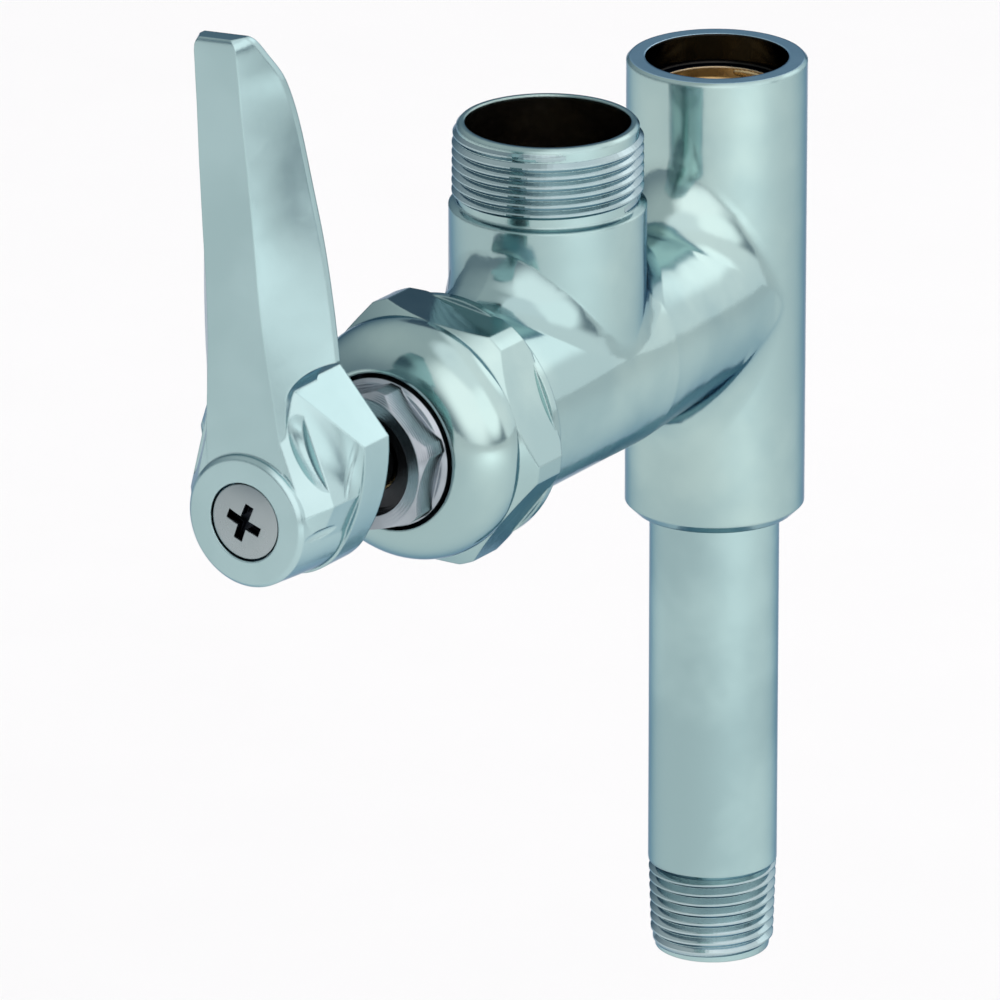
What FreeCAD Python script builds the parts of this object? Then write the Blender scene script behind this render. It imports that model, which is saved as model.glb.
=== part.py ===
import FreeCAD, Part
import math
import os

import Sketcher
from FreeCAD import Placement, Rotation, Vector

# Add-on faucet that is screwed into a kitchen riser pipe.
# The origin is on the riser's axis at the lower end of the nipple, +Z runs up the riser
# and the handle looks towards -Y. Each body is turned half a turn about Z, so inside a
# body local +Y is the distance in front of the riser's axis.

os.makedirs("parts", exist_ok=True)
doc = FreeCAD.newDocument("add_on_faucet")
sheet = doc.addObject("Spreadsheet::Sheet", "Sizes")

ORIGIN_POINT, HORIZONTAL_AXIS, VERTICAL_AXIS = -1, -1, -2
HALF_TURN = Rotation(Vector(0, 0, 1), 180)


class Length:
    """A length: its value and the sheet expression that gives it."""

    def __init__(self, value, text):
        self.value = value
        self.text = text

    def combined(self, other, sign, result):
        text = other.text if isinstance(other, Length) else f"{other:.6f}"
        return Length(result, f"({self.text} {sign} {text})")

    def __add__(self, other):
        return self.combined(other, "+", self.value + number(other))

    def __sub__(self, other):
        return self.combined(other, "-", self.value - number(other))

    def __mul__(self, other):
        return self.combined(other, "*", self.value * number(other))

    def __truediv__(self, other):
        return self.combined(other, "/", self.value / number(other))


def number(length):
    return length.value if isinstance(length, Length) else float(length)


def size(alias, value):
    """Writes one driving dimension into the sheet and hands it back as a Length."""
    row = size.rows = getattr(size, "rows", 0) + 1
    sheet.set(f"A{row}", alias)
    sheet.set(f"B{row}", str(value))
    sheet.setAlias(f"B{row}", alias)
    return Length(value, f"Sizes.{alias}")


NOTHING = Length(0.0, "0")

# Riser sleeve and nipple
nipple_exposed = size("nipple_exposed", 61.9)
nipple_engaged = size("nipple_engaged", 10.0)
nipple_radius = size("nipple_radius", 8.57)
nipple_bore = size("nipple_bore", 6.25)
nipple_thread_depth = size("nipple_thread_depth", 1.0)
nipple_thread_length = size("nipple_thread_length", 12.5)
sleeve_length = size("sleeve_length", 62.3)
sleeve_radius = size("sleeve_radius", 11.84)
sleeve_edge = size("sleeve_edge_chamfer", 1.2)
rim_edge = size("rim_chamfer", 0.4)
socket_ledge_gap = size("socket_ledge_gap", 1.0)
waterway_radius = size("waterway_radius", 6.3)
top_mouth_radius = size("top_mouth_radius", 9.4)
top_mouth_depth = size("top_mouth_depth", 4.0)
top_thread_radius = size("top_thread_radius", 8.0)
top_thread_depth = size("top_thread_depth", 12.0)

# Barrel and outlet neck
barrel_drop = size("barrel_drop", 31.4)
barrel_root_radius = size("barrel_root_radius", 11.6)
barrel_radius = size("barrel_radius", 13.7)
barrel_root_length = size("barrel_root_length", 30.0)
barrel_length = size("barrel_length", 69.0)
barrel_thread_radius = size("barrel_thread_radius", 13.4)
barrel_thread_length = size("barrel_thread_length", 8.0)
chamber_radius = size("chamber_radius", 10.2)
chamber_start = size("chamber_start", 22.0)
passage_radius = size("seat_passage_radius", 4.6)
outlet_reach = size("outlet_reach", 40.0)
outlet_rise = size("outlet_rise", 2.2)
neck_radius = size("neck_radius", 12.75)
outlet_thread_radius = size("outlet_thread_radius", 11.75)
outlet_thread_length = size("outlet_thread_length", 10.6)
outlet_bore = size("outlet_bore_radius", 10.7)
outlet_bore_depth = size("outlet_bore_depth", 18.0)
outlet_port = size("outlet_port_radius", 7.2)
root_blend = size("root_blend_radius", 7.5)
neck_blend = size("neck_blend_radius", 6.0)

# Clearances
slip = size("slip_clearance", 0.05)
touch_gap = size("touch_clearance", 0.1)
free_gap = size("free_clearance", 0.3)
stop_gap = size("stop_clearance", 0.4)

# Seat insert and washer
seat_thread_radius = size("seat_thread_radius", 6.95)
seat_pocket_start = size("seat_pocket_start", 15.3)
seat_lip_radius = size("seat_lip_radius", 5.2)
seat_lip_height = size("seat_lip_height", 2.6)
seat_key_width = size("seat_key_width", 6.35)
washer_radius = size("washer_radius", 5.5)
washer_thickness = size("washer_thickness", 3.0)
washer_hole = size("washer_hole_radius", 1.9)
cup_radius = size("cup_radius", 6.3)
cup_floor = size("cup_floor", 1.6)
cup_lip = size("cup_lip_depth", 1.4)
washer_screw_radius = size("washer_screw_radius", 1.6)
washer_screw_length = size("washer_screw_length", 9.0)
washer_screw_head_radius = size("washer_screw_head_radius", 2.4)
washer_screw_head_height = size("washer_screw_head_height", 1.5)

# Cartridge sleeve
cartridge_start = size("cartridge_start", 52.0)
cartridge_flange_radius = size("cartridge_flange_radius", 12.9)
cartridge_flange = size("cartridge_flange_thickness", 2.4)
gasket_thickness = size("gasket_thickness", 0.8)
nose_radius = size("nose_radius", 6.6)
nose_lip = size("nose_lip", 0.6)
packing_seat = size("packing_seat", 74.0)
packing_radius = size("packing_radius", 5.7)
ring_groove_start = size("ring_groove_start", 58.0)
ring_groove_length = size("ring_groove_length", 2.4)
ring_groove_radius = size("ring_groove_radius", 8.4)
stem_thread_start = size("stem_thread_start", 57.0)

# Stem
stem_lift = size("stem_lift", 2.0)
stem_foot_radius = size("stem_foot_radius", 4.2)
stem_foot = size("stem_foot_thickness", 2.0)
stem_shaft_radius = size("stem_shaft_radius", 3.4)
stem_thread_radius = size("stem_thread_radius", 4.9)
stem_thread_length = size("stem_thread_length", 12.0)
stem_shank_radius = size("stem_shank_radius", 3.95)
stem_square = size("stem_square_width", 5.2)
stem_square_length = size("stem_square_length", 9.4)
stem_ring_start = size("stem_ring_start", 53.7)
stem_ring_length = size("stem_ring_groove_length", 1.9)
stem_collar_step = size("stem_collar_step", 0.3)
stem_collar_wall = size("stem_collar_wall", 0.9)

# Bonnet nut and packing nut
nut_back = size("nut_back", 61.4)
nut_front = size("nut_front", 70.35)
nut_width = size("nut_across_flats", 31.75)
nut_flange_radius = size("nut_flange_radius", 16.5)
nut_flange_length = size("nut_flange_length", 1.2)
nut_corner_angle = size("nut_corner_angle", 52.0)
nut_corner_radius = size("nut_corner_radius", 17.7)
nut_corner_drop = size("nut_corner_drop", 1.7)
nut_back_edge = size("nut_back_edge", 0.8)
nut_flange_edge = size("nut_flange_edge", 0.5)
dome_end = size("dome_end", 77.6)
dome_gap = size("dome_gap", 0.6)
dome_edge = size("dome_edge", 0.4)
packing_nut_width = size("packing_nut_across_flats", 17.5)
packing_nut_start = size("packing_nut_start", 73.4)
packing_nut_end = size("packing_nut_end", 82.6)
packing_nut_angle = size("packing_nut_angle", 43.0)
packing_corner_radius = size("packing_corner_radius", 9.7)
packing_corner_drop = size("packing_corner_drop", 1.1)
packing_flange_end = size("packing_flange_end", 78.3)
packing_flange_width = size("packing_flange_width", 1.05)
packing_flange_edge = size("packing_flange_edge", 0.5)
packing_recess_radius = size("packing_recess_radius", 7.0)
packing_recess_depth = size("packing_recess_depth", 1.8)
packing_ring_thickness = size("packing_ring_thickness", 2.0)
gland_thickness = size("gland_washer_thickness", 1.3)

# Lever handle
hub_back = size("hub_back", 93.8)
hub_length = size("hub_length", 14.8)
boss_radius = size("boss_radius", 8.61)
boss_back_radius = size("boss_back_radius", 9.5)
skirt_thickness = size("skirt_thickness", 5.4)
skirt_half_width = size("skirt_half_width", 12.45)
skirt_corner_height = size("skirt_corner_height", 8.5)
skirt_waist = size("skirt_waist", 11.9)
skirt_waist_height = size("skirt_waist_height", 3.8)
skirt_foot_angle = size("skirt_foot_angle", 44.0)
shoulder_half_width = size("shoulder_half_width", 5.8)
shoulder_height = size("shoulder_height", 17.1)
handle_angle = size("handle_angle", 4.3)
boss_edge = size("boss_edge", 0.5)
blade_set_back = size("blade_set_back", 0.9)
blade_depth = size("blade_depth", 7.2)
blade_length = size("blade_length", 62.4)
blade_half_width = size("blade_half_width", 9.95)
blade_face = size("blade_face_half_width", 5.65)
blade_edge = size("blade_edge_thickness", 1.0)
scoop_radius = size("scoop_radius", 4.0)
scoop_side = size("scoop_side", 5.95)
scoop_top = size("scoop_top", 19.6)
wing_reach = size("wing_reach", 10.6)
wing_top_side = size("wing_top_side", 6.2)
wing_top_height = size("wing_top_height", 16.5)
wing_tip = size("wing_tip", 0.4)
wing_root_side = size("wing_root_side", 11.2)
wing_side = size("wing_side", 10.9)
wing_height = size("wing_height", 2.1)
ramp_top_side = size("ramp_top_side", 5.6)
ramp_top_height = size("ramp_top_height", 10.5)
ramp_gap = size("ramp_set_back", 0.1)
crescent_side = size("crescent_side", 9.9)
crescent_reach = size("crescent_reach", 12.1)
crescent_height = size("crescent_height", 9.3)
crescent_half_length = size("crescent_half_length", 7.0)
crescent_radius = size("crescent_radius", 3.0)
slit_side = size("slit_side", 11.58)
slit_reach = size("slit_reach", 7.15)
slit_height = size("slit_height", 5.77)
slit_half_length = size("slit_half_length", 3.9)
slit_radius = size("slit_radius", 0.85)
dent_side = size("dent_side", 9.6)
dent_reach = size("dent_reach", 11.0)
dent_drop = size("dent_drop", 1.85)
dent_half_length = size("dent_half_length", 4.6)
dent_radius = size("dent_radius", 1.1)
screw_recess_radius = size("screw_recess_radius", 5.15)
screw_recess_depth = size("screw_recess_depth", 2.3)
screw_head_radius = size("screw_head_radius", 4.88)
screw_head_height = size("screw_head_height", 2.1)
cross_length = size("cross_length", 5.1)
cross_width = size("cross_width", 1.3)
cross_depth = size("cross_depth", 1.4)
cross_angle = size("cross_angle", 21.0)
screw_radius = size("screw_radius", 2.1)
screw_length = size("screw_length", 12.0)
lock_washer = size("lock_washer_thickness", 0.5)
lock_washer_radius = size("lock_washer_radius", 4.4)
doc.recompute()

# Places that follow from the driving dimensions
sleeve_bottom = nipple_exposed
sleeve_top = nipple_exposed + sleeve_length
barrel_height = sleeve_top - barrel_drop
outlet_top = sleeve_top + outlet_rise
cartridge_radius = chamber_radius - slip
gasket_start = barrel_length
flange_start = gasket_start + gasket_thickness
flange_end = flange_start + cartridge_flange
stem_thread_end = stem_thread_start + stem_thread_length
lip_end = chamber_start + seat_lip_height
washer_start = lip_end + touch_gap
cup_start = washer_start + washer_thickness
cup_end = cup_start + cup_floor
stem_start = cup_end + touch_gap
square_end = hub_back + stem_square_length
gland_start = packing_seat + packing_ring_thickness * 2
gland_end = gland_start + gland_thickness
nose_end = gland_start + nose_lip
packing_flange_radius = packing_nut_width / 2 + packing_flange_width
dome_opening = packing_flange_radius + dome_gap
hub_front = hub_back + hub_length
wing_station = hub_back + wing_reach
blade_front = hub_front - blade_set_back
recess_floor = hub_front - screw_recess_depth
head_seat = recess_floor + lock_washer


def body_at(label, up=NOTHING, turn=NOTHING):
    """Body at a height on the riser's axis, turned by an angle round its length axis."""
    body = doc.addObject("PartDesign::Body", label)
    body.Label = label
    body.Placement = Placement(Vector(0, 0, up.value), HALF_TURN * Rotation(Vector(0, 1, 0), turn.value))
    turns = f"rotation(vector(0; 0; 1); 180) * rotation(vector(0; 1; 0); {turn.text})"
    body.setExpression("Placement", f"placement(vector(0; 0; {up.text}); {turns})")
    return body


def sketch_on(body, role, offset=NOTHING):
    """Empty sketch on one of the body's own planes, moved along the plane's normal."""
    sketch = body.newObject("Sketcher::SketchObject", f"{body.Label}_sketch")
    own_plane = next(plane for plane in body.Origin.OriginFeatures if plane.Role == role)
    sketch.AttachmentSupport = [(own_plane, "")]
    sketch.MapMode = "FlatFace"
    sketch.AttachmentOffset = Placement(Vector(0, 0, offset.value), Rotation())
    sketch.setExpression("AttachmentOffset.Base.z", offset.text)
    return sketch


def fix(sketch, geometry, end, point):
    """Ties one point of a curve to its place, measured from the sketch's origin."""
    ways = (("DistanceX", VERTICAL_AXIS, point[0]), ("DistanceY", HORIZONTAL_AXIS, point[1]))
    for kind, axis, place in ways:
        if place is NOTHING:
            sketch.addConstraint(Sketcher.Constraint("PointOnObject", geometry, end, axis))
            continue
        rule = Sketcher.Constraint(kind, ORIGIN_POINT, 1, geometry, end, place.value)
        index = sketch.addConstraint(rule)
        sketch.renameConstraint(index, f"{kind}_{index}")
        sketch.setExpression(f"Constraints.{kind}_{index}", place.text)


def flat(point):
    return Vector(point[0].value, point[1].value, 0)


def draw_outline(sketch, corners, vias=None):
    """Closed outline through the corners. vias gives, for the number of a corner, the
    point that the arc from that corner to the next one passes through."""
    vias = vias or {}
    curves = []
    for place, corner in enumerate(corners):
        start = flat(corner)
        end = flat(corners[(place + 1) % len(corners)])
        if place in vias:
            curve = sketch.addGeometry(Part.Arc(start, flat(vias[place]), end))
            point = sketch.addGeometry(Part.Point(flat(vias[place])), True)
            fix(sketch, point, 1, vias[place])
            sketch.addConstraint(Sketcher.Constraint("PointOnObject", point, 1, curve))
        else:
            curve = sketch.addGeometry(Part.LineSegment(start, end))
        first = 1 if sketch.getPoint(curve, 1).distanceToPoint(start) < 1e-6 else 2
        curves.append((curve, first))
    curves_before = curves[-1:] + curves[:-1]
    for (curve, first), (before, before_first), corner in zip(curves, curves_before, corners):
        fix(sketch, curve, first, corner)
        joined = Sketcher.Constraint("Coincident", before, 3 - before_first, curve, first)
        sketch.addConstraint(joined)


def draw_axis(sketch, start, end):
    axis = sketch.addGeometry(Part.LineSegment(flat(start), flat(end)), True)
    fix(sketch, axis, 1, start)
    fix(sketch, axis, 2, end)


def turned(body, corners, axis="H_Axis", vias=None, ends=None, cut=False):
    """Profile in the body's length plane, turned round one of its axes or round the line
    between two end points."""
    sketch = sketch_on(body, "YZ_Plane")
    if ends:
        draw_axis(sketch, *ends)
    draw_outline(sketch, corners, vias)
    kind = "Groove" if cut else "Revolution"
    feature = body.newObject(f"PartDesign::{kind}", f"{body.Label}_{kind}")
    feature.Profile = sketch
    feature.ReferenceAxis = (sketch, ["Axis0" if ends else axis])
    feature.Angle = 360
    return feature


def raised(body, corners, start, length, vias=None, cut=False):
    """Outline across the body, seen from behind, run forwards from a station."""
    sketch = sketch_on(body, "XZ_Plane", NOTHING - start)
    draw_outline(sketch, corners, vias)
    kind = "Pocket" if cut else "Pad"
    feature = body.newObject(f"PartDesign::{kind}", f"{body.Label}_{kind}")
    feature.Profile = sketch
    feature.Length = length.value
    feature.setExpression("Length", length.text)
    feature.Reversed = not cut
    return feature


def polygon(across_flats, sides, first_angle):
    """Corners of a regular polygon of the given width, from the angle of its first one."""
    reach = across_flats / (2 * math.cos(math.pi / sides))
    angles = [math.radians(first_angle + 360 * side / sides) for side in range(sides)]
    return [(reach * math.cos(angle), reach * math.sin(angle)) for angle in angles]


def ring(body, start, length, inner, outer):
    """Plain washer or ring round the body's own length axis."""
    end = start + length
    return turned(body, [(start, inner), (start, outer), (end, outer), (end, inner)])


def blend(body, base, radius, chosen):
    """Rounds the edges of the base feature that the test picks."""
    doc.recompute()
    names = [f"Edge{count}" for count, edge in enumerate(base.Shape.Edges, 1) if chosen(edge)]
    feature = body.newObject("PartDesign::Fillet", f"{body.Label}_Fillet")
    feature.Base = (base, names)
    feature.Radius = radius.value
    feature.setExpression("Radius", radius.text)
    return feature


def is_saddle(edge):
    """True for the curve in which two of the casting's cylinders meet."""
    return edge.Curve.TypeId == "Part::GeomBSplineCurve"


# Valve body: one casting of sleeve, barrel and outlet neck
valve_body = body_at("valve_body")
turned(valve_body, [
    (NOTHING, sleeve_bottom),
    (sleeve_radius - sleeve_edge, sleeve_bottom),
    (sleeve_radius, sleeve_bottom + sleeve_edge),
    (sleeve_radius, sleeve_top - rim_edge),
    (sleeve_radius - rim_edge, sleeve_top),
    (NOTHING, sleeve_top),
], axis="V_Axis")
barrel_axis = ((NOTHING, barrel_height), (barrel_length, barrel_height))
barrel_shoulder = barrel_length - barrel_thread_length
barrel = turned(valve_body, [
    (NOTHING, barrel_height),
    (NOTHING, barrel_height + barrel_root_radius),
    (barrel_root_length, barrel_height + barrel_radius),
    (barrel_shoulder, barrel_height + barrel_radius),
    (barrel_shoulder, barrel_height + barrel_thread_radius),
    (barrel_length, barrel_height + barrel_thread_radius),
    (barrel_length, barrel_height),
], ends=barrel_axis)
root = blend(valve_body, barrel, root_blend, is_saddle)
neck_axis = ((outlet_reach, barrel_height), (outlet_reach, outlet_top))
neck_shoulder = outlet_top - outlet_thread_length
neck = turned(valve_body, [
    (outlet_reach, barrel_height),
    (outlet_reach + neck_radius, barrel_height),
    (outlet_reach + neck_radius, neck_shoulder - rim_edge),
    (outlet_reach + outlet_thread_radius, neck_shoulder),
    (outlet_reach + outlet_thread_radius, outlet_top - rim_edge),
    (outlet_reach + outlet_thread_radius - rim_edge, outlet_top),
    (outlet_reach, outlet_top),
], ends=neck_axis)
def is_neck_saddle(edge):
    """True for the curve round the outlet neck's foot, above the barrel's axis."""
    box = edge.BoundBox
    near_neck = abs(edge.CenterOfMass.y - outlet_reach.value) < neck_radius.value
    return is_saddle(edge) and near_neck and box.ZMin > barrel_height.value


blend(valve_body, neck, neck_blend, is_neck_saddle)

nipple_top_radius = nipple_radius - nipple_thread_depth - slip * 2
socket_radius = nipple_top_radius + slip
socket_ledge = sleeve_bottom + nipple_engaged + socket_ledge_gap
mouth_floor = sleeve_top - top_mouth_depth
top_ledge = mouth_floor - top_thread_depth
turned(valve_body, [
    (NOTHING, sleeve_bottom),
    (socket_radius, sleeve_bottom),
    (socket_radius, socket_ledge),
    (waterway_radius, socket_ledge),
    (waterway_radius, top_ledge),
    (top_thread_radius, top_ledge),
    (top_thread_radius, mouth_floor),
    (top_mouth_radius, mouth_floor),
    (top_mouth_radius, sleeve_top),
    (NOTHING, sleeve_top),
], axis="V_Axis", cut=True)
turned(valve_body, [
    (NOTHING, barrel_height),
    (NOTHING, barrel_height + passage_radius),
    (seat_pocket_start, barrel_height + passage_radius),
    (seat_pocket_start, barrel_height + seat_thread_radius + slip),
    (chamber_start, barrel_height + seat_thread_radius + slip),
    (chamber_start, barrel_height + chamber_radius),
    (barrel_length, barrel_height + chamber_radius),
    (barrel_length, barrel_height),
], ends=barrel_axis, cut=True)
outlet_floor = outlet_top - outlet_bore_depth
turned(valve_body, [
    (outlet_reach, barrel_height),
    (outlet_reach + outlet_port, barrel_height),
    (outlet_reach + outlet_port, outlet_floor),
    (outlet_reach + outlet_bore, outlet_floor),
    (outlet_reach + outlet_bore, outlet_top),
    (outlet_reach, outlet_top),
], ends=neck_axis, cut=True)

# Riser nipple: plated tube, threaded at both ends
nipple = body_at("riser_nipple")
nipple_root = nipple_radius - nipple_thread_depth
nipple_top = nipple_exposed + nipple_engaged
turned(nipple, [
    (nipple_bore, NOTHING),
    (nipple_root, NOTHING),
    (nipple_root, nipple_thread_length - nipple_thread_depth),
    (nipple_radius, nipple_thread_length),
    (nipple_radius, nipple_exposed - slip),
    (nipple_top_radius, nipple_exposed - slip),
    (nipple_top_radius, nipple_top),
    (nipple_bore, nipple_top),
], axis="V_Axis")

# Seat insert: threaded ring with a raised lip and a hexagonal key hole
seat = body_at("seat_insert", barrel_height)
turned(seat, [
    (seat_pocket_start, NOTHING),
    (seat_pocket_start, seat_thread_radius),
    (chamber_start, seat_thread_radius),
    (chamber_start, seat_lip_radius),
    (lip_end, seat_lip_radius),
    (lip_end, NOTHING),
])
raised(seat, polygon(seat_key_width, 6, 0), seat_pocket_start, lip_end - seat_pocket_start, cut=True)

# Seat washer and its cup
washer = body_at("seat_washer", barrel_height)
ring(washer, washer_start, washer_thickness, washer_hole, washer_radius)
cup = body_at("seat_disc_cup", barrel_height)
turned(cup, [
    (cup_start - cup_lip, washer_radius + slip),
    (cup_start - cup_lip, cup_radius),
    (cup_end, cup_radius),
    (cup_end, washer_hole),
    (cup_start, washer_hole),
    (cup_start, washer_radius + slip),
])
washer_screw = body_at("washer_screw", barrel_height)
washer_screw_end = washer_start + washer_screw_length
turned(washer_screw, [
    (washer_start - washer_screw_head_height, NOTHING),
    (washer_start - washer_screw_head_height, washer_screw_head_radius),
    (washer_start - touch_gap, washer_screw_head_radius),
    (washer_start - touch_gap, washer_screw_radius),
    (washer_screw_end, washer_screw_radius),
    (washer_screw_end, NOTHING),
])

# Cartridge sleeve: carries the stem's thread, held by its flange under the bonnet nut
cartridge = body_at("cartridge_sleeve", barrel_height)
thread_bore = stem_thread_radius + slip
thread_bore_end = stem_thread_end + stem_lift + stop_gap
ring_groove_end = ring_groove_start + ring_groove_length
turned(cartridge, [
    (cartridge_start, thread_bore),
    (cartridge_start, cartridge_radius),
    (ring_groove_start, cartridge_radius),
    (ring_groove_start, ring_groove_radius),
    (ring_groove_end, ring_groove_radius),
    (ring_groove_end, cartridge_radius),
    (flange_start, cartridge_radius),
    (flange_start, cartridge_flange_radius),
    (flange_end, cartridge_flange_radius),
    (flange_end, nose_radius),
    (nose_end, nose_radius),
    (nose_end, packing_radius),
    (packing_seat, packing_radius),
    (packing_seat, stem_shank_radius + slip),
    (thread_bore_end, stem_shank_radius + slip),
    (thread_bore_end, thread_bore),
])
gasket = body_at("flange_gasket", barrel_height)
ring(gasket, gasket_start, gasket_thickness, chamber_radius + slip, cartridge_flange_radius)


def o_ring(label, groove_start, groove_length, groove_floor, bore):
    """Round rubber ring, centred in its groove and just clear of the bore round it."""
    body = body_at(label, barrel_height)
    thickness = bore - groove_floor - slip
    middle = groove_start + groove_length / 2
    centre = groove_floor + slip / 2 + thickness / 2
    sketch = sketch_on(body, "YZ_Plane")
    circle = sketch.addGeometry(Part.Circle(flat((middle, centre)), Vector(0, 0, 1), number(thickness) / 2))
    fix(sketch, circle, 3, (middle, centre))
    index = sketch.addConstraint(Sketcher.Constraint("Radius", circle, number(thickness) / 2))
    sketch.renameConstraint(index, "Thickness")
    sketch.setExpression("Constraints.Thickness", f"{thickness.text} / 2")
    feature = body.newObject("PartDesign::Revolution", f"{label}_Revolution")
    feature.Profile = sketch
    feature.ReferenceAxis = (sketch, ["H_Axis"])
    feature.Angle = 360


o_ring("sleeve_o_ring", ring_groove_start, ring_groove_length, ring_groove_radius, chamber_radius)

# Stem: foot for the seat washer, ring collar, coarse thread, shank and square end
stem = body_at("valve_stem", barrel_height, handle_angle)
collar_radius = stem_thread_radius - stem_collar_step
collar_start = stem_ring_start - stem_collar_wall
collar_end = stem_ring_start + stem_ring_length + stem_collar_wall
turned(stem, [
    (stem_start, washer_screw_radius + slip),
    (stem_start, stem_foot_radius),
    (stem_start + stem_foot, stem_foot_radius),
    (stem_start + stem_foot, stem_shaft_radius),
    (collar_start, stem_shaft_radius),
    (collar_start, collar_radius),
    (stem_ring_start, collar_radius),
    (stem_ring_start, stem_shaft_radius),
    (stem_ring_start + stem_ring_length, stem_shaft_radius),
    (stem_ring_start + stem_ring_length, collar_radius),
    (collar_end, collar_radius),
    (collar_end, stem_shaft_radius),
    (stem_thread_start, stem_shaft_radius),
    (stem_thread_start, stem_thread_radius),
    (stem_thread_end, stem_thread_radius),
    (stem_thread_end, stem_shank_radius),
    (hub_back, stem_shank_radius),
    (hub_back, NOTHING),
    (washer_screw_end + touch_gap, NOTHING),
    (washer_screw_end + touch_gap, washer_screw_radius + slip),
])
raised(stem, polygon(stem_square, 4, 45), hub_back, stem_square_length)
screw_hole_start = head_seat - screw_length - touch_gap
turned(stem, [
    (screw_hole_start, NOTHING),
    (screw_hole_start, screw_radius + slip),
    (square_end, screw_radius + slip),
    (square_end, NOTHING),
], cut=True)
o_ring("stem_o_ring", stem_ring_start, stem_ring_length, stem_shaft_radius, thread_bore)

# Packing rings, gland washer and packing nut
packing_bore = stem_shank_radius + slip
for count in range(2):
    packing = body_at(f"packing_ring_{count + 1}", barrel_height)
    ring_start = packing_seat + packing_ring_thickness * count
    ring(packing, ring_start, packing_ring_thickness, packing_bore, packing_radius - slip)
gland = body_at("gland_washer", barrel_height)
ring(gland, gland_start, gland_thickness, packing_bore, packing_radius - slip)


def hexagon_nut(label, across_flats, angle, back, front, corner_radius, drop, back_edge):
    """Hexagon across the body, its corners turned down behind a cone. A back edge adds
    another cone there."""
    body = body_at(label, barrel_height)
    raised(body, polygon(across_flats, 6, angle), back, front - back)
    outside = across_flats * 0.75
    back_corner = [(back, corner_radius)]
    if back_edge is not NOTHING:
        back_corner = [(back, corner_radius - back_edge), (back + back_edge, corner_radius)]
    turned(body, [
        (front, across_flats / 2),
        (front, outside),
        (back, outside),
        *back_corner,
        (front - drop, corner_radius),
    ], cut=True)
    return body


packing_nut = hexagon_nut("packing_nut", packing_nut_width, packing_nut_angle.value,
                          packing_flange_end - packing_flange_edge, packing_nut_end,
                          packing_corner_radius, packing_corner_drop, NOTHING)
turned(packing_nut, [
    (packing_nut_start, NOTHING),
    (packing_nut_start, packing_flange_radius),
    (packing_flange_end - packing_flange_edge, packing_flange_radius),
    (packing_flange_end, packing_flange_radius - packing_flange_edge),
    (packing_flange_end, NOTHING),
])
packing_recess = packing_nut_end - packing_recess_depth
turned(packing_nut, [
    (packing_nut_start, NOTHING),
    (packing_nut_start, nose_radius + slip),
    (gland_end, nose_radius + slip),
    (gland_end, stem_shank_radius + free_gap),
    (packing_recess, stem_shank_radius + free_gap),
    (packing_recess, packing_recess_radius),
    (packing_nut_end, packing_recess_radius),
    (packing_nut_end, NOTHING),
], cut=True)

# Bonnet nut: hexagon with a rear flange and a domed front round its opening
bonnet_nut = hexagon_nut("bonnet_nut", nut_width, 180 - nut_corner_angle.value,
                         nut_back + nut_flange_length, nut_front, nut_corner_radius,
                         nut_corner_drop, nut_back_edge)
turned(bonnet_nut, [
    (nut_back, NOTHING),
    (nut_back, nut_flange_radius - nut_flange_edge),
    (nut_back + nut_flange_edge, nut_flange_radius),
    (nut_back + nut_flange_length + nut_flange_edge, nut_flange_radius),
    (nut_back + nut_flange_length + nut_flange_edge, NOTHING),
])
half_nut = nut_width / 2
dome_reach = dome_end - nut_front
dome_fall = half_nut - dome_opening
diagonal = math.cos(math.pi / 4)
turned(bonnet_nut, [
    (nut_front - dome_edge, NOTHING),
    (nut_front - dome_edge, half_nut),
    (nut_front, half_nut),
    (dome_end, dome_opening + dome_edge),
    (dome_end, NOTHING),
], vias={2: (nut_front + dome_reach * diagonal, dome_opening + dome_fall * diagonal)})
turned(bonnet_nut, [
    (nut_back, NOTHING),
    (nut_back, barrel_thread_radius + slip),
    (flange_end, barrel_thread_radius + slip),
    (flange_end, dome_opening),
    (dome_end, dome_opening),
    (dome_end, NOTHING),
], cut=True)

# Lever handle: the blade first, then the hub that carries it
handle = body_at("lever_handle", barrel_height, handle_angle)

# Shares of the blade's length, face width, full width, and depth lost behind and in front
BLADE_SECTIONS = (
    (0.08, 1.00, 1.00, 0.00, 0.00),
    (0.21, 0.93, 1.00, 0.00, 0.00),
    (0.32, 0.80, 0.99, 0.00, 0.00),
    (0.48, 0.69, 0.93, 0.00, 0.00),
    (0.64, 0.66, 0.80, 0.00, 0.00),
    (0.72, 0.64, 0.72, 0.00, 0.00),
    (0.80, 0.61, 0.65, 0.03, 0.00),
    (0.87, 0.58, 0.59, 0.13, 0.00),
    (0.92, 0.57, 0.54, 0.30, 0.00),
    (0.955, 0.56, 0.47, 0.48, 0.00),
    (0.985, 0.53, 0.41, 0.64, 0.00),
    (1.00, 0.41, 0.33, 0.76, 0.03),
)


def blade_section(height, face, width, lost_behind, lost_in_front):
    """Level section of the blade: a flat face, sloping sides, thin edges and a flat back."""
    sketch = sketch_on(handle, "XY_Plane", blade_length * height)
    front = blade_front - blade_depth * lost_in_front
    edge = blade_front - blade_depth * (1 - lost_behind)
    half_face = blade_face * face
    half_width = blade_half_width * width
    draw_outline(sketch, [
        (half_face, front),
        (half_width, edge),
        (half_width, edge - blade_edge),
        (NOTHING - half_width, edge - blade_edge),
        (NOTHING - half_width, edge),
        (NOTHING - half_face, front),
    ])
    return sketch


def lofted(body, profiles, ruled):
    loft = body.newObject("PartDesign::AdditiveLoft", f"{body.Label}_Loft")
    loft.Profile = profiles[0]
    loft.Sections = profiles[1:]
    loft.Ruled = ruled
    return loft


lofted(handle, [blade_section(*shares) for shares in BLADE_SECTIONS], False)

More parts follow.
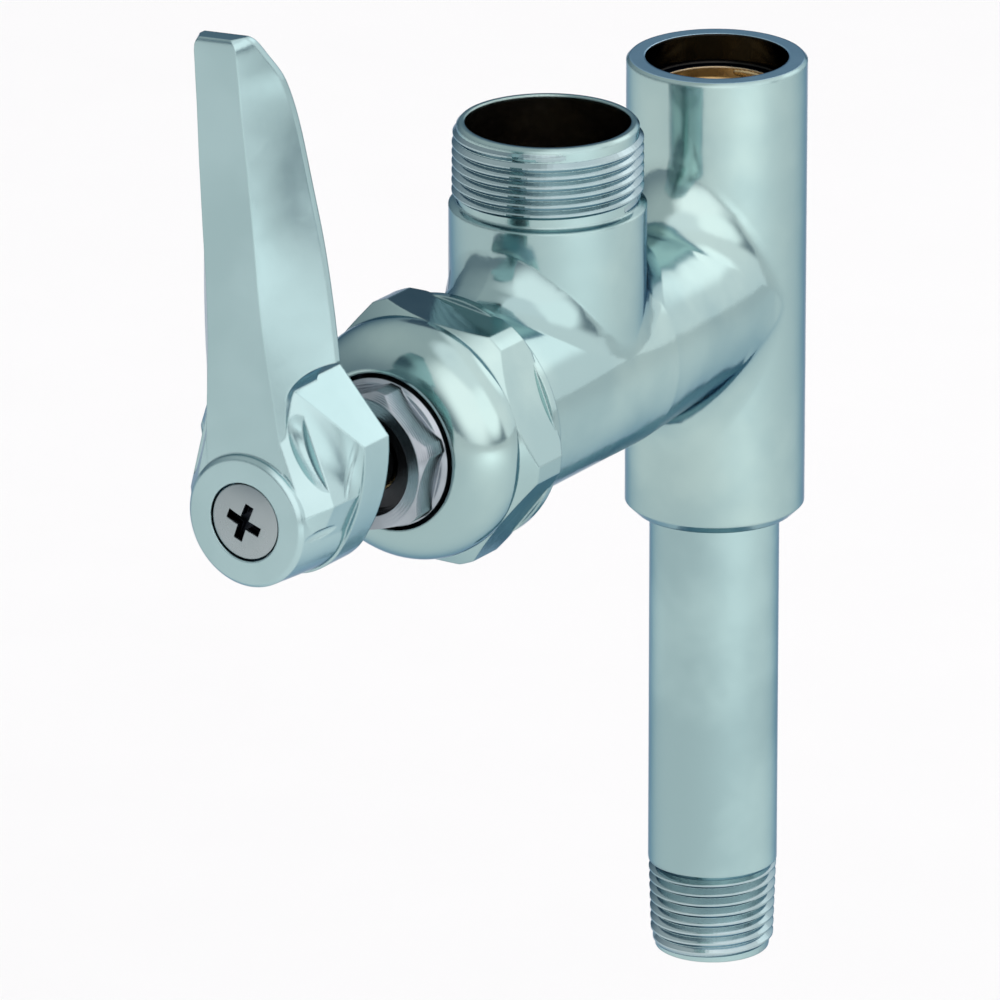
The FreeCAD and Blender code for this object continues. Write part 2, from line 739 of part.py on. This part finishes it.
# Scoops at both sides of the blade's foot, in front of the skirt
skirt_front = hub_back + skirt_thickness
scoop_bow = scoop_radius * (1 - math.cos(math.pi / 4))
for side in (1, -1):
    raised(handle, [
        (scoop_side * side, NOTHING),
        (scoop_side * side, scoop_top - scoop_radius),
        ((scoop_side + scoop_radius) * side, scoop_top),
        (blade_half_width * 1.5 * side, scoop_top),
        (blade_half_width * 1.5 * side, NOTHING),
    ], skirt_front, hub_front - skirt_front, vias={
        1: ((scoop_side + scoop_bow) * side, scoop_top - scoop_bow),
    }, cut=True)


def wing_section(station, *half):
    """Outline across the hub through both wings, from the points of the right half."""
    sketch = sketch_on(handle, "XZ_Plane", NOTHING - station)
    draw_outline(sketch, [*half, *[(NOTHING - side, height) for side, height in reversed(half)]])
    return sketch


def hollow(side, reach, height, along, half_length, radius):
    """Long round hollow in the hub's side, its axis along the given direction."""
    centre = (side, hub_back + reach, height)
    cutter = handle.newObject("PartDesign::SubtractiveEllipsoid", "lever_handle_hollow")
    own_plane = next(plane for plane in handle.Origin.OriginFeatures if plane.Role == "XY_Plane")
    cutter.AttachmentSupport = [(own_plane, "")]
    cutter.MapMode = "FlatFace"
    middle = Vector(*[place.value for place in centre])
    cutter.AttachmentOffset = Placement(middle, Rotation(Vector(0, 0, 1), Vector(*along)))
    for name, place in zip("xyz", centre):
        cutter.setExpression(f"AttachmentOffset.Base.{name}", place.text)
    cutter.setExpression("Radius1", half_length.text)
    cutter.setExpression("Radius2", radius.text)
    cutter.setExpression("Radius3", radius.text)


# Wings at the hub's sides. A ramp rises from the boss's rim to a crease and is hollowed
# out there, and a slanting face goes on from the crease to the front edge of the skirt.
wing_root = (
    (shoulder_half_width, shoulder_height),
    (skirt_half_width, skirt_corner_height),
    (wing_root_side, wing_height),
    (boss_back_radius * 0.89, NOTHING - boss_back_radius * 0.34),
)
wing_crease = (
    (wing_top_side - wing_tip, wing_top_height + wing_tip),
    (wing_top_side, wing_top_height),
    (wing_side, wing_height),
    (boss_radius * 0.95, NOTHING - boss_radius * 0.36),
)
ramp_foot = (
    (ramp_top_side - wing_tip, ramp_top_height + wing_tip),
    (ramp_top_side, ramp_top_height),
    (boss_radius * 0.99, boss_radius * 0.13),
    (boss_radius * 0.93, NOTHING - boss_radius * 0.33),
)
ramp_front = blade_front - ramp_gap
lofted(handle, [wing_section(wing_station, *wing_crease), wing_section(ramp_front, *ramp_foot)], True)
for side in (1, -1):
    hollow(crescent_side * side, crescent_reach, crescent_height, (5.2 * side, -1.6, -12.2),
           crescent_half_length, crescent_radius)

# Boss round the barrel's axis, the shouldered skirt behind it and the wings' slanting faces
turned(handle, [
    (hub_back, NOTHING),
    (hub_back, boss_back_radius),
    (hub_front - boss_edge, boss_radius),
    (hub_front, boss_radius - boss_edge),
    (hub_front, NOTHING),
])
foot_angle = math.radians(skirt_foot_angle.value)
foot_side = boss_back_radius * math.cos(foot_angle)
foot_height = NOTHING - boss_back_radius * math.sin(foot_angle)
raised(handle, [
    (shoulder_half_width, shoulder_height),
    (skirt_half_width, skirt_corner_height),
    (foot_side, foot_height),
    (NOTHING - foot_side, foot_height),
    (NOTHING - skirt_half_width, skirt_corner_height),
    (NOTHING - shoulder_half_width, shoulder_height),
], hub_back, skirt_thickness, vias={
    1: (skirt_waist, skirt_waist_height),
    2: (NOTHING, NOTHING - boss_back_radius),
    3: (NOTHING - skirt_waist, skirt_waist_height),
})
lofted(handle, [wing_section(skirt_front, *wing_root), wing_section(wing_station, *wing_crease)], True)
for side in (1, -1):
    hollow(slit_side * side, slit_reach, slit_height, (-0.35 * side, 1.3, -4.7),
           slit_half_length, slit_radius)
    hollow(dent_side * side, dent_reach, NOTHING - dent_drop, (-0.12 * side, 1, 0),
           dent_half_length, dent_radius)

turned(handle, [
    (square_end, NOTHING),
    (square_end, screw_radius + free_gap),
    (recess_floor, screw_radius + free_gap),
    (recess_floor, screw_recess_radius),
    (hub_front, screw_recess_radius),
    (hub_front, NOTHING),
], cut=True)
socket_end = square_end + touch_gap
raised(handle, polygon(stem_square + slip * 2, 4, 45), hub_back, socket_end - hub_back, cut=True)

# Handle screw with a cross recess, and its lock washer
handle_washer = body_at("lock_washer", barrel_height)
ring(handle_washer, recess_floor, lock_washer, screw_radius + slip, lock_washer_radius)
screw = body_at("handle_screw", barrel_height)
head_top = head_seat + screw_head_height
head_rise = screw_head_height / 4
turned(screw, [
    (head_top, NOTHING),
    (head_top - head_rise, screw_head_radius),
    (head_seat, screw_head_radius),
    (head_seat, screw_radius),
    (head_seat - screw_length, screw_radius),
    (head_seat - screw_length, NOTHING),
], vias={0: (head_top - head_rise / 4, screw_head_radius / 2)})
for quarter in (0, 90):
    turn = math.radians(cross_angle.value + quarter)
    slot = [(1, 1), (-1, 1), (-1, -1), (1, -1)]
    corners = [(cross_length / 2 * (math.cos(turn) * far) - cross_width / 2 * (math.sin(turn) * wide),
                cross_length / 2 * (math.sin(turn) * far) + cross_width / 2 * (math.cos(turn) * wide))
               for far, wide in slot]
    raised(screw, corners, head_top - cross_depth, cross_depth * 2, cut=True)


def check_and_write():
    """Stops at a failed feature or a bad shape, and otherwise writes one file a body."""
    doc.recompute()
    failed = [item.Name for item in doc.Objects if {"Invalid", "Error"} & set(item.State)]
    if failed:
        raise RuntimeError(f"failed features: {failed}")
    bodies = [item for item in doc.Objects if item.TypeId == "PartDesign::Body"]
    for body in bodies:
        if body.Shape.isNull() or not body.Shape.isValid() or not body.Shape.Solids:
            raise RuntimeError(f"bad shape: {body.Label}")
    for body in bodies:
        body.Shape.exportStep(f"parts/{body.Label}.step")
        print(body.Label, len(body.Shape.Solids), round(body.Shape.Volume, 2))


check_and_write()
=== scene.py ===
import math

import bpy
from mathutils import Matrix, Vector


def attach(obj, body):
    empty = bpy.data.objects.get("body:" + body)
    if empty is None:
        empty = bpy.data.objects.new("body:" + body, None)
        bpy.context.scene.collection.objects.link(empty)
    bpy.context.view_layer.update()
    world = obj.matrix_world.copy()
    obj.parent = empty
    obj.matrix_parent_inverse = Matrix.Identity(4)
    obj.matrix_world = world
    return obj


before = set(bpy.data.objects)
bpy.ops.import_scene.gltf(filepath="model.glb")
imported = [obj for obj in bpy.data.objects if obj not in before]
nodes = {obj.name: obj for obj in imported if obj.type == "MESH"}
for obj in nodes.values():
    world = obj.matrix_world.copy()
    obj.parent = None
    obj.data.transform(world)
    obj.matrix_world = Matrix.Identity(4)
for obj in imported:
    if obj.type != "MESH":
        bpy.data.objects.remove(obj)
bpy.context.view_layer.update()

MM = 0.001
scene = bpy.context.scene

# Main sizes of the object
BARREL_HEIGHT = 92.8 * MM
OUTLET_REACH = 40.0 * MM
OUTLET_TOP = 126.4 * MM
SLEEVE_TOP = 124.2 * MM
SLEEVE_BOTTOM = 61.9 * MM

# Camera, placed from the round edges of the photograph
RIGHT = Vector((0.8329, 0.5534, 0.0))
UP = Vector((-0.1903, 0.2863, 0.9390))
BACK = Vector((0.5197, -0.7821, 0.3438))
LENS = 475.4
SENSOR_WIDTH = 36.0
NEAREST, FARTHEST = 0.1, 20.0
DISTANCE, LEFTWARD, DOWNWARD = 1718.6, 28.262, 57.848
AIM = Vector((0, 0, 124.24 * MM))

camera_data = bpy.data.cameras.new("camera")
camera_data.sensor_width = SENSOR_WIDTH
camera_data.lens = LENS
camera_data.clip_start = NEAREST
camera_data.clip_end = FARTHEST
camera = bpy.data.objects.new("camera", camera_data)
place = BACK * DISTANCE * MM - RIGHT * LEFTWARD * MM - UP * DOWNWARD * MM + AIM
camera.matrix_world = Matrix((
    (RIGHT.x, UP.x, BACK.x, place.x),
    (RIGHT.y, UP.y, BACK.y, place.y),
    (RIGHT.z, UP.z, BACK.z, place.z),
    (0, 0, 0, 1),
))
scene.collection.objects.link(camera)
scene.camera = camera
scene.view_settings.view_transform = "Standard"


# Small helpers for nodes
class Nodes:
    """A node tree with short calls for the nodes that are used here."""

    def __init__(self, tree):
        self.tree = tree

    def node(self, kind, **settings):
        made = self.tree.nodes.new(kind)
        for key, value in settings.items():
            setattr(made, key, value)
        return made

    def link(self, source, target):
        self.tree.links.new(source, target)

    def feed(self, sockets, values):
        """Give each socket its number, its colour or the output of another node."""
        for socket, value in zip(sockets, values):
            if isinstance(value, (int, float)):
                socket.default_value = value
            elif isinstance(value, tuple):
                socket.default_value = (*value, 1.0)
            else:
                self.link(value, socket)

    def mix(self, factor, first, second):
        made = self.node("ShaderNodeMix", data_type="RGBA")
        self.feed((made.inputs[0], made.inputs[6], made.inputs[7]), (factor, first, second))
        return made.outputs[2]

    def between(self, value, low, high, start=0.0, end=1.0):
        """Smooth step from start, where the value is low, to end, where it is high."""
        made = self.node("ShaderNodeMapRange", interpolation_type="SMOOTHSTEP")
        names = ("Value", "From Min", "From Max", "To Min", "To Max")
        self.feed([made.inputs[name] for name in names], (value, low, high, start, end))
        return made.outputs[0]


class Shader(Nodes):
    """A node material in the object's own coordinates."""

    def __init__(self, name):
        self.material = bpy.data.materials.new(name)
        self.material.use_nodes = True
        super().__init__(self.material.node_tree)
        self.bsdf = self.tree.nodes["Principled BSDF"]
        self.place = self.node("ShaderNodeTexCoord").outputs["Object"]

    def math(self, operation, *values):
        made = self.node("ShaderNodeMath", operation=operation)
        self.feed(made.inputs, values)
        return made.outputs[0]

    def noise(self, scale, detail):
        made = self.node("ShaderNodeTexNoise")
        names = ("Vector", "Scale", "Detail")
        self.feed([made.inputs[name] for name in names], (self.place, scale, detail))
        return made.outputs["Fac"]

    def bump(self, height, strength, distance, under=None):
        made = self.node("ShaderNodeBump")
        names = ("Height", "Strength", "Distance")
        self.feed([made.inputs[name] for name in names], (height, strength, distance))
        if under is not None:
            self.link(under, made.inputs["Normal"])
        return made.outputs[0]

    def softened(self, radius):
        """Normals that round every edge by the radius."""
        made = self.node("ShaderNodeBevel", samples=6)
        made.inputs["Radius"].default_value = radius
        return made.outputs[0]

    def coordinate(self, axis):
        made = self.node("ShaderNodeSeparateXYZ")
        self.link(self.place, made.inputs[0])
        return made.outputs[axis]

    def from_axis(self, first, second, second_at):
        """Distance from a straight axis that runs through 0 of the first coordinate."""
        one = self.coordinate(first)
        two = self.math("SUBTRACT", self.coordinate(second), second_at)
        squares = self.math("ADD", self.math("MULTIPLY", one, one), self.math("MULTIPLY", two, two))
        return self.math("SQRT", squares)

    def both(self, first, second):
        """Where two masks meet."""
        return self.math("MULTIPLY", first, second)

    def colour(self, value):
        self.link(value, self.bsdf.inputs["Base Color"])

    def recolour(self, mask, value):
        """Another colour where the mask is 1."""
        self.colour(self.mix(mask, self.bsdf.inputs["Base Color"].links[0].from_socket, value))


def give(names, shader):
    """Dress CAD nodes in a material."""
    for name in names:
        slots = nodes[name].data.materials
        slots.clear()
        slots.append(shader.material)


# Polished plate
PLATE_TINT = (0.30, 0.40, 0.52, 1.0)
CLOUD_SCALE, WAVE_SCALE, GRAIN_SCALE = 48.0, 85.0, 900.0
CLOUD_BLUR, GRAIN_BLUR = 0.05, 0.04
WAVE_HEIGHT, GRAIN_HEIGHT = 0.25 * MM, 0.02 * MM


def chrome(name, light, deep, edge, rough, wave):
    """A cool metal whose buffed surface waves a little and is never quite even."""
    shader = Shader(name)
    cloud = shader.noise(CLOUD_SCALE, 4.0)
    grain = shader.noise(GRAIN_SCALE, 4.0)
    shader.colour(shader.mix(shader.between(cloud, 0.40, 0.62), deep, light))
    shader.bsdf.inputs["Metallic"].default_value = 1.0
    shader.bsdf.inputs["Specular Tint"].default_value = PLATE_TINT
    blur = shader.math("ADD", shader.between(cloud, 0.3, 0.7, rough, rough + CLOUD_BLUR),
                       shader.between(grain, 0.45, 0.8, 0.0, GRAIN_BLUR))
    shader.link(blur, shader.bsdf.inputs["Roughness"])
    normal = shader.bump(shader.noise(WAVE_SCALE, 2.0), wave, WAVE_HEIGHT, shader.softened(edge))
    normal = shader.bump(grain, 0.05, GRAIN_HEIGHT, normal)
    shader.link(normal, shader.bsdf.inputs["Normal"])
    return shader


LIGHT_CHROME = (0.45, 0.605, 0.585)
DEEP_CHROME = (0.37, 0.52, 0.52)
body_chrome = chrome("polished_body", LIGHT_CHROME, DEEP_CHROME,
                     edge=0.5 * MM, rough=0.11, wave=0.7)
nut_chrome = chrome("polished_nut", LIGHT_CHROME, DEEP_CHROME,
                    edge=0.4 * MM, rough=0.08, wave=0.15)
handle_chrome = chrome("polished_handle", (0.44, 0.61, 0.62), (0.39, 0.55, 0.56),
                       edge=0.4 * MM, rough=0.15, wave=0.2)
tube_chrome = chrome("plated_tube", (0.42, 0.59, 0.59), (0.34, 0.49, 0.50),
                     edge=0.3 * MM, rough=0.15, wave=0.6)
thread_chrome = chrome("plated_thread", (0.46, 0.58, 0.60), (0.34, 0.46, 0.48),
                       edge=0.08 * MM, rough=0.12, wave=0.1)
screw_chrome = chrome("plated_screw", (0.40, 0.46, 0.47), (0.34, 0.40, 0.41),
                      edge=0.2 * MM, rough=0.24, wave=0.1)

# Inside the sleeve the casting is bare brass at its thread; the mouth above is painted near black,
# a painted shade. The sleeve's rim, a cut face, is painted lighter and bluer, a painted highlight.
# The outlet's bore is darkened brass: aged oxide and painted shade. The radii lie a little outside
# the bores.
BORE_REACH, RIM_REACH, OUTLET_BORE_REACH = 9.6 * MM, 12.0 * MM, 10.9 * MM
BORE_START = SLEEVE_BOTTOM + 0.2 * MM
MOUTH_START = SLEEVE_TOP - 4.05 * MM
RIM_START = SLEEVE_TOP - 0.02 * MM
OUTLET_FLOOR, OUTLET_EDGE = OUTLET_TOP - 18.2 * MM, OUTLET_TOP - 0.6 * MM
height = body_chrome.coordinate("Z")
grain = body_chrome.noise(300.0, 4.0)


def above(level):
    return body_chrome.math("GREATER_THAN", height, level)


def inside_of(radius, reach=0.0):
    return body_chrome.math("LESS_THAN", body_chrome.from_axis("X", "Y", -reach), radius)


def paint_body(mask, deep, light):
    body_chrome.recolour(mask, body_chrome.mix(grain, deep, light))


sleeve_bore = body_chrome.both(inside_of(BORE_REACH), above(BORE_START))
mouth_painted_shade = body_chrome.both(sleeve_bore, above(MOUTH_START))
rim_painted_highlight = body_chrome.both(inside_of(RIM_REACH), above(RIM_START))
outlet_bore = body_chrome.both(inside_of(OUTLET_BORE_REACH, OUTLET_REACH), above(OUTLET_FLOOR))
below_edge = body_chrome.math("LESS_THAN", height, OUTLET_EDGE)
paint_body(sleeve_bore, (0.50, 0.38, 0.22), (0.78, 0.68, 0.50))
# The mouth's near-black colour is painted shade.
paint_body(mouth_painted_shade, (0.012, 0.013, 0.013), (0.045, 0.043, 0.038))
# The rim's lighter, bluer colour is a painted highlight on the face turned to the sky.
paint_body(rim_painted_highlight, (0.46, 0.68, 0.80), (0.54, 0.76, 0.88))
# The outlet's darker brass is partly aged oxide and partly painted shade of the deep bore.
paint_body(body_chrome.both(outlet_bore, below_edge), (0.24, 0.22, 0.19), (0.50, 0.46, 0.38))

# The screw's cross recess is painted near black with a faint speckle: painted shade in the recess
CROSS_REACH = 2.9 * MM
CROSS_START = -108.4 * MM
from_middle = screw_chrome.from_axis("X", "Z", BARREL_HEIGHT)
near_axis = screw_chrome.math("LESS_THAN", from_middle, CROSS_REACH)
sunk = screw_chrome.math("GREATER_THAN", screw_chrome.coordinate("Y"), CROSS_START)
shade_speckle = screw_chrome.noise(900.0, 3.0)
cross_recess_shade = screw_chrome.mix(shade_speckle, (0.006, 0.008, 0.012), (0.022, 0.024, 0.028))
screw_chrome.recolour(screw_chrome.both(near_axis, sunk), cross_recess_shade)

# Dull turned metal
RING_DENSITY = 15600.0
RING_HEIGHT = 0.03 * MM


def turned_metal(name, light, deep, rough):
    """Fine rings round the barrel's axis, with slightly uneven colour."""
    shader = Shader(name)
    cloud = shader.noise(140.0, 3.0)
    shader.colour(shader.mix(shader.between(cloud, 0.35, 0.65), deep, light))
    shader.bsdf.inputs["Metallic"].default_value = 1.0
    blur = shader.between(cloud, 0.3, 0.7, rough - 0.04, rough + 0.06)
    shader.link(blur, shader.bsdf.inputs["Roughness"])
    along = shader.math("ADD", shader.from_axis("X", "Z", BARREL_HEIGHT), shader.coordinate("Y"))
    rings = shader.math("SINE", shader.math("MULTIPLY", along, RING_DENSITY))
    normal = shader.bump(rings, 0.12, RING_HEIGHT, shader.softened(0.3 * MM))
    shader.link(normal, shader.bsdf.inputs["Normal"])
    return shader


dark_nickel = turned_metal("dull_nickel", (0.33, 0.38, 0.42), (0.23, 0.27, 0.30), 0.20)
nut_nickel = turned_metal("recessed_nickel", (0.40, 0.45, 0.49), (0.29, 0.33, 0.36), 0.20)
# The cartridge sleeve is painted near black: painted shade in the gap round the packing nut.
flange_painted_shade = turned_metal("painted_shade_flange", (0.045, 0.045, 0.050), (0.020, 0.020, 0.024), 0.40)
brass = turned_metal("turned_brass", (0.78, 0.60, 0.33), (0.64, 0.46, 0.22), 0.26)

# The packing nut's front recess and the stem inside it are painted near black: painted shade
RECESS_REACH = 7.05 * MM
from_stem = nut_nickel.from_axis("X", "Z", BARREL_HEIGHT)
in_recess = nut_nickel.math("LESS_THAN", from_stem, RECESS_REACH)
nut_recess_shade = nut_nickel.mix(nut_nickel.noise(400.0, 3.0), (0.020, 0.022, 0.024), (0.055, 0.058, 0.062))
nut_nickel.recolour(in_recess, nut_recess_shade)


def soft_seal(name, light, deep, rough, grain_scale):
    """Rubber or pressed packing, with a fine uneven grain."""
    shader = Shader(name)
    fine = shader.noise(grain_scale, 5.0)
    shader.colour(shader.mix(shader.between(fine, 0.3, 0.7), deep, light))
    blur = shader.between(fine, 0.3, 0.7, rough, rough + 0.15)
    shader.link(blur, shader.bsdf.inputs["Roughness"])
    shader.link(shader.bump(fine, 0.3, 0.05 * MM), shader.bsdf.inputs["Normal"])
    return shader


rubber = soft_seal("seal_rubber", (0.030, 0.030, 0.032), (0.016, 0.016, 0.017), 0.45, 1500.0)
packing = soft_seal("pressed_packing", (0.80, 0.77, 0.68), (0.66, 0.62, 0.53), 0.60, 1200.0)

give(["valve_body"], body_chrome)
give(["bonnet_nut"], nut_chrome)
give(["lever_handle"], handle_chrome)
give(["riser_nipple"], tube_chrome)
give(["handle_screw"], screw_chrome)
give(["lock_washer"], dark_nickel)
give(["packing_nut", "valve_stem"], nut_nickel)
give(["seat_insert", "seat_disc_cup", "washer_screw", "gland_washer"], brass)
give(["cartridge_sleeve"], flange_painted_shade)
give(["seat_washer", "sleeve_o_ring", "stem_o_ring"], rubber)
give(["flange_gasket", "packing_ring_1", "packing_ring_2"], packing)

# Screw threads: one ridge wound round an axis, sunk a little into the solid's plain cylinder
STEPS_PER_TURN = 96
CREST_SHARE = 0.09
SINK = 0.03 * MM
FADE_OUT = 0.35
LEAST_FADE = 0.02


def thread(name, centre, start, end, pitch, root, crest_start, crest_end,
           run_out=0.5, fade_in=0.35):
    """Ridge from start to end along Z, cut off at both ends.

    A crest below the root makes an inner thread. The ridge's middle keeps run_out pitches from
    both ends, and the ridge grows over fade_in turns.
    """
    outward = 1 if crest_start > root else -1
    half, flat = pitch * 0.5, pitch * CREST_SHARE
    first, last = start + pitch * run_out, end - pitch * run_out
    turns = (last - first) / pitch
    count = int(turns * STEPS_PER_TURN)
    sunk_root = root - outward * SINK
    vertices, faces = [], []
    for index in range(count + 1):
        share = index / count
        angle = 2 * math.pi * turns * share
        middle = first + (last - first) * share
        fade = min(1.0, index / (STEPS_PER_TURN * fade_in) + LEAST_FADE,
                   (count - index) / (STEPS_PER_TURN * FADE_OUT) + LEAST_FADE)
        crest = root + (crest_start + (crest_end - crest_start) * share - root) * fade
        for radius, rise in ((sunk_root, -half), (crest, -flat), (crest, flat), (sunk_root, half)):
            vertices.append((centre[0] + radius * math.cos(angle),
                             centre[1] + radius * math.sin(angle),
                             min(max(middle + rise, start), end)))
    corners = range(4)
    for low in range(0, count * 4, 4):
        high = low + 4
        for corner in corners:
            after = (corner + 1) % 4
            faces.append((low + corner, high + corner, high + after, low + after))
    faces.append(tuple(corners))
    faces.append(tuple(count * 4 + corner for corner in reversed(corners)))
    mesh = bpy.data.meshes.new(name)
    mesh.from_pydata(vertices, [], faces)
    mesh.validate()
    piece = bpy.data.objects.new(name, mesh)
    scene.collection.objects.link(piece)
    return piece


PIPE_PITCH, OUTLET_PITCH = 1.41 * MM, 1.27 * MM
outlet_thread = thread("outlet_thread_ridges", (0.0, -OUTLET_REACH),
                       OUTLET_TOP - 10.5 * MM, OUTLET_TOP - 0.5 * MM, OUTLET_PITCH,
                       root=11.75 * MM, crest_start=12.36 * MM, crest_end=12.30 * MM)
nipple_thread = thread("nipple_thread_ridges", (0.0, 0.0), 0.02 * MM, 13.3 * MM, PIPE_PITCH,
                       root=7.57 * MM, crest_start=8.12 * MM, crest_end=8.54 * MM,
                       run_out=0.12, fade_in=1.1)
socket_thread = thread("socket_thread_ridges", (0.0, 0.0),
                       SLEEVE_TOP - 15.8 * MM, SLEEVE_TOP - 4.1 * MM, PIPE_PITCH,
                       root=8.0 * MM, crest_start=7.3 * MM, crest_end=7.45 * MM)
for piece, shader, slot in ((outlet_thread, thread_chrome, "chrome_body"),
                            (nipple_thread, thread_chrome, "nipple_plate"),
                            (socket_thread, brass, "brass")):
    piece.data.materials.append(shader.material)
    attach(piece, "valve")

# Floor: pale paper, well below the object
FLOOR = -0.16
HALF_WIDTH = 6
floor_shader = Shader("pale_floor")
paper = floor_shader.noise(40.0, 3.0)
floor_shader.colour(floor_shader.mix(paper, (0.887, 0.887, 0.882), (0.902, 0.902, 0.897)))
floor_shader.bsdf.inputs["Roughness"].default_value = 0.9
floor_mesh = bpy.data.meshes.new("floor")
floor_corners = ((-HALF_WIDTH, -HALF_WIDTH), (HALF_WIDTH, -HALF_WIDTH),
                 (HALF_WIDTH, HALF_WIDTH), (-HALF_WIDTH, HALF_WIDTH))
floor_mesh.from_pydata([(x, y, FLOOR) for x, y in floor_corners], [], [(0, 1, 2, 3)])
floor = bpy.data.objects.new("floor", floor_mesh)
floor.data.materials.append(floor_shader.material)
scene.collection.objects.link(floor)

# World: a studio tent, grey at the horizon, with soft patches of light and one of shade.
# Each patch has its middle, the cosines where it starts and where it is full, and its colour.
HORIZON = (0.46, 0.54, 0.62)
TENT_STRENGTH = 0.53
PATCHES = (
    ((0, 0, 1), -0.1, 0.9, (1.12, 1.16, 1.18)),
    ((0.65, -0.55, 0.50), 0.66, 0.94, (2.90, 2.75, 2.75)),
    ((0.45, 0.15, 0.88), 0.82, 0.93, (2.20, 2.15, 2.20)),
    ((0.92, 0.02, 0.40), 0.90, 0.975, (2.90, 2.80, 2.80)),
    ((0.42, 0.80, 0.36), 0.69, 0.80, (2.15, 2.08, 2.10)),
    ((0.36, 0.78, 0.48), 0.96, 0.99, (3.10, 3.00, 3.00)),
    ((-0.40, 0.74, 0.54), 0.972, 0.99, (0.20, 0.27, 0.36)),
)
world = bpy.data.worlds.new("studio")
world.use_nodes = True
scene.world = world
sky = Nodes(world.node_tree)
direction = sky.node("ShaderNodeTexCoord").outputs["Generated"]
tent = HORIZON
for middle, starts, full, colour in PATCHES:
    dot = sky.node("ShaderNodeVectorMath", operation="DOT_PRODUCT")
    dot.inputs[1].default_value = Vector(middle).normalized()
    sky.link(direction, dot.inputs[0])
    tent = sky.mix(sky.between(dot.outputs["Value"], starts, full), tent, colour)
background = sky.tree.nodes["Background"]
sky.link(tent, background.inputs["Color"])
background.inputs["Strength"].default_value = TENT_STRENGTH


# Lamps over the floor: broad and soft, and seen in the metal only by what they light
def lamp(name, at, target, size, power):
    data = bpy.data.lights.new(name, "AREA")
    data.size, data.energy = size, power
    made = bpy.data.objects.new(name, data)
    made.location = at
    made.rotation_mode = "QUATERNION"
    made.rotation_quaternion = (Vector(target) - Vector(at)).to_track_quat("-Z", "Y")
    made.visible_camera = made.visible_glossy = False
    scene.collection.objects.link(made)


lamp("right_lamp", (1.25, -0.42, 0.55), (1.25, -0.40, FLOOR), size=0.8, power=6.0)
lamp("back_lamp", (-0.4, 0.6, 0.9), (-0.37, 0.56, FLOOR), size=1.0, power=2.8)
